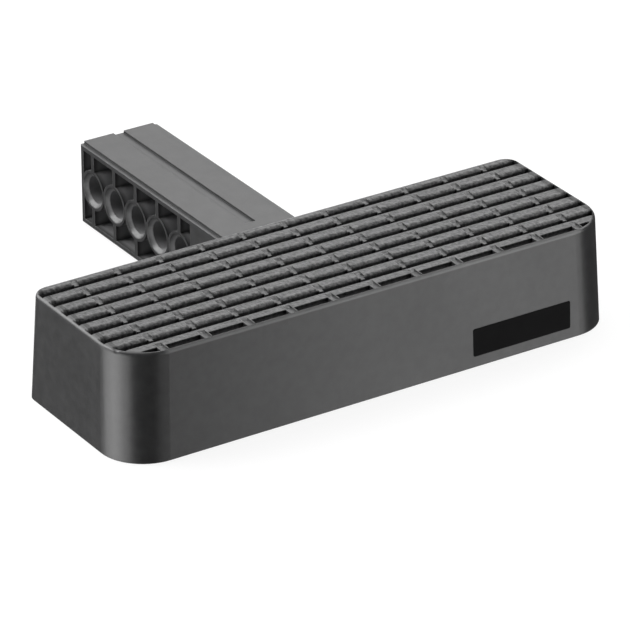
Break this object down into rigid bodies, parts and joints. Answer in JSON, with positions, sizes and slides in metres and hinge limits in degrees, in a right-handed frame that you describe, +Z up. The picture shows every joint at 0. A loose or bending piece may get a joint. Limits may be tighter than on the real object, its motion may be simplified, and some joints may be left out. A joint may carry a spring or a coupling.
{
  "type": "hitch receiver step",
  "caption": "Moulded hitch step: a hollow ribbed deck with a grooved, notched tread on a square, side-cored shank with a row of cross bores for a hitch pin.",
  "frame": {"origin": "middle of the bounding box, at the floor", "axes": "+Z up, +Y towards the receiver tube, X across the vehicle"},
  "size_m": [0.3138, 0.2696, 0.0627],
  "materials": {
    "moulding": "fine moulded grain",
    "label": "satin film"
  },
  "bodies": {
    "root": {"step_moulding": "moulding", "label": "label"}
  },
  "joints": []
}
